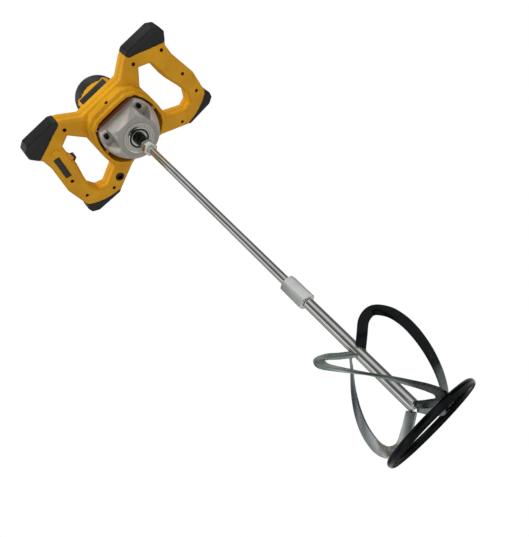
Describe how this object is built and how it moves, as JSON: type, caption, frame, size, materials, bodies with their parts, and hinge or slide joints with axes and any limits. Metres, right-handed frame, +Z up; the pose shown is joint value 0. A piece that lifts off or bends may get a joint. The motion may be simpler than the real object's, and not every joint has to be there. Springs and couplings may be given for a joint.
{
  "type": "handheld mortar mixer",
  "caption": "Two-handle electric mortar mixer: power head with geared spindle, hexagon-coupled rod and a ring paddle with spiral strip blades.",
  "frame": {"origin": "on the spindle axis, level with the underside of the paddle ring", "axes": "+Z up the spindle axis from the paddle to the motor, +X from the switch handle to the plain handle, -Y towards the label side of the motor"},
  "size_m": [0.322, 0.1905, 0.797],
  "materials": {
    "yellow_plastic": "moulded, slightly worn",
    "bumper_rubber": "matte",
    "black_plastic": "moulded",
    "orange_plastic": "moulded",
    "cast_alloy": "as cast, satin",
    "bearing_steel": "ground",
    "machined_steel": "machined",
    "black_steel": "black oxide",
    "zinc_plated": "bright zinc",
    "dark_chrome": "dark bright plating",
    "blade_steel": "zinc plated strip",
    "copper_winding": "enamelled",
    "brass_part": "stamped"
  },
  "bodies": {
    "head": {"bumper_right_large": "bumper_rubber", "bumper_right_small": "bumper_rubber", "bumper_left_large": "bumper_rubber", "bumper_left_small": "bumper_rubber", "housing_front": "yellow_plastic", "housing_rear": "yellow_plastic", "collar_screw": "black_steel", "switch_body": "black_plastic", "switch_plate": "black_plastic", "cable_inlet": "bumper_rubber", "motor_housing": "yellow_plastic", "motor_cap": "black_plastic", "label_panel": "black_plastic", "stator": "machined_steel", "field_coil_left": "copper_winding", "field_coil_right": "copper_winding", "brush_holder_left": "brass_part", "brush_holder_right": "brass_part", "armature_bearing_front": "bearing_steel", "armature_bearing_rear": "bearing_steel", "gearbox_case": "cast_alloy", "gearbox_cover": "cast_alloy", "bearing_outer_ring": "bearing_steel", "bearing_seal": "bumper_rubber", "housing_screw_1": "black_steel", "housing_screw_2": "black_steel", "housing_screw_3": "black_steel", "housing_screw_4": "black_steel", "housing_screw_5": "black_steel", "housing_screw_6": "black_steel", "housing_screw_7": "black_steel", "housing_screw_8": "black_steel", "housing_screw_9": "black_steel", "gearbox_screw_1": "black_steel", "gearbox_screw_2": "black_steel", "gearbox_screw_3": "black_steel", "gearbox_screw_4": "black_steel"},
    "output": {"spindle": "black_steel", "bearing_inner_ring": "bearing_steel", "output_gear": "machined_steel", "rod_nut": "zinc_plated", "rod_upper": "zinc_plated", "rod_coupler": "zinc_plated", "rod_lower": "zinc_plated", "ring": "dark_chrome", "blade_1": "blade_steel", "blade_2": "blade_steel", "blade_3": "blade_steel"},
    "intermediate": {"intermediate_shaft": "machined_steel", "intermediate_wheel": "machined_steel"},
    "armature": {"armature_shaft": "machined_steel", "armature_core": "machined_steel", "commutator": "copper_winding", "fan": "black_plastic"},
    "trigger": {"trigger": "black_plastic"},
    "lock_button": {"lock_button": "orange_plastic"}
  },
  "joints": [
    {"name": "output_spin", "type": "hinge", "parent": "head", "child": "output", "pos_m": [0, 0, 0.6], "axis": [0, 0, 1], "continuous": true},
    {"name": "intermediate_spin", "type": "hinge", "parent": "head", "child": "intermediate", "pos_m": [0, 0.025, 0.65], "axis": [0, 0, 1], "continuous": true},
    {"name": "armature_spin", "type": "hinge", "parent": "head", "child": "armature", "pos_m": [0, 0, 0.7], "axis": [0, 0, 1], "continuous": true},
    {"name": "trigger_press", "type": "hinge", "parent": "head", "child": "trigger", "pos_m": [-0.1145, 0.014, 0.7], "axis": [0, 0, -1], "range_deg": [0, 10], "stiffness_Nm_per_rad": 0.6, "springref_deg": -20.05},
    {"name": "lock_button_press", "type": "slide", "parent": "head", "child": "lock_button", "axis": [-1, 0, 0], "range_m": [0, 0.0035], "stiffness_N_per_m": 400, "springref_m": -0.002}
  ],
  "couplings": [
    {"joint": "intermediate_spin", "follows": "output_spin", "ratio": -4},
    {"joint": "armature_spin", "follows": "output_spin", "ratio": 16}
  ]
}
